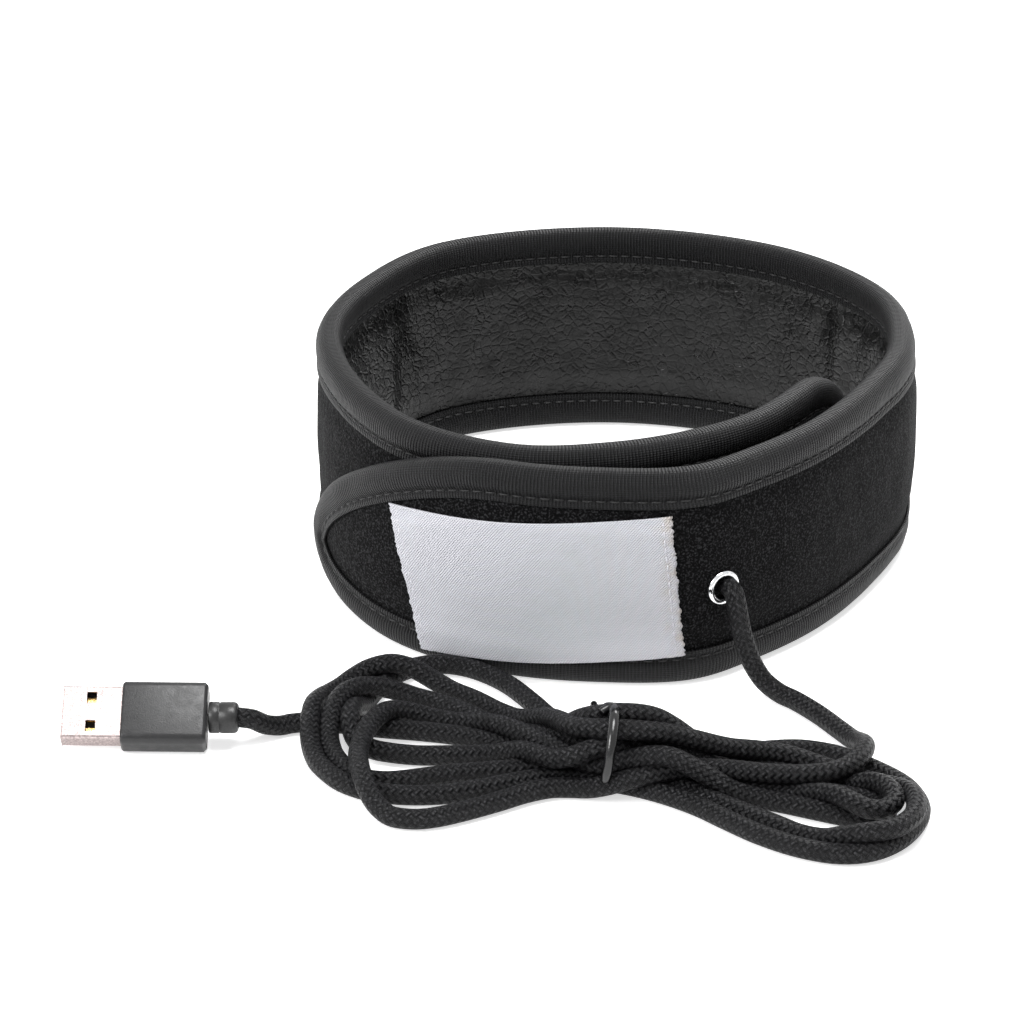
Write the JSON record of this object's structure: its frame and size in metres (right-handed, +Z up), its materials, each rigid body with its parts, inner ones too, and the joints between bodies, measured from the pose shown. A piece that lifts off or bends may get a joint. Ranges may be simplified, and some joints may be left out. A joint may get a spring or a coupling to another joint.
{
  "type": "telescope dew heater strip",
  "caption": "Padded fabric heating strip that wraps round a telescope tube, laid in a ring, with its power cord in a tied hank and a flat plug.",
  "frame": {"origin": "under the middle of the ring of the strip, on the surface that the strip stands on", "axes": "+Z up, along the ring's axis; -Y towards the eyelet, the label and the hank of cord; +X to the right, seen from the front"},
  "size_m": [0.1824, 0.2153, 0.05],
  "materials": {
    "velour": "black pile fabric",
    "foam": "matt soft foam",
    "copper": "printed, satin",
    "film": "amber, clear, smooth",
    "leather": "crinkled artificial leather",
    "tape": "ribbed woven tape",
    "hook": "hook tape",
    "label": "woven, matt",
    "chrome": "chrome plated",
    "red": "insulation, satin",
    "black": "satin",
    "solder": "tinned",
    "braid": "braided sleeve",
    "tie": "glossy",
    "anodised": "anodised, matt",
    "nickel": "nickel plated, satin",
    "gold": "gold plated"
  },
  "bodies": {
    "root": {"outer_cover": "velour", "insulation_foam": "foam", "heater_track": "copper", "heater_film": "film", "inner_liner": "leather", "edge_binding": "tape", "hook_patch": "hook", "woven_label": "label", "eyelet": "chrome", "eyelet_washer": "chrome", "lead_wire_positive": "red", "lead_wire_negative": "black", "joint_positive": "solder", "joint_negative": "solder", "cord_lead": "braid", "cord_hank": "braid", "cord_tail": "braid", "twist_tie": "tie", "plug_sleeve": "anodised", "plug_collar": "black", "plug_mould": "black", "usb_shell": "nickel", "usb_tongue": "black", "usb_contact_1": "gold", "usb_contact_2": "gold", "usb_contact_3": "gold", "usb_contact_4": "gold"}
  },
  "joints": []
}
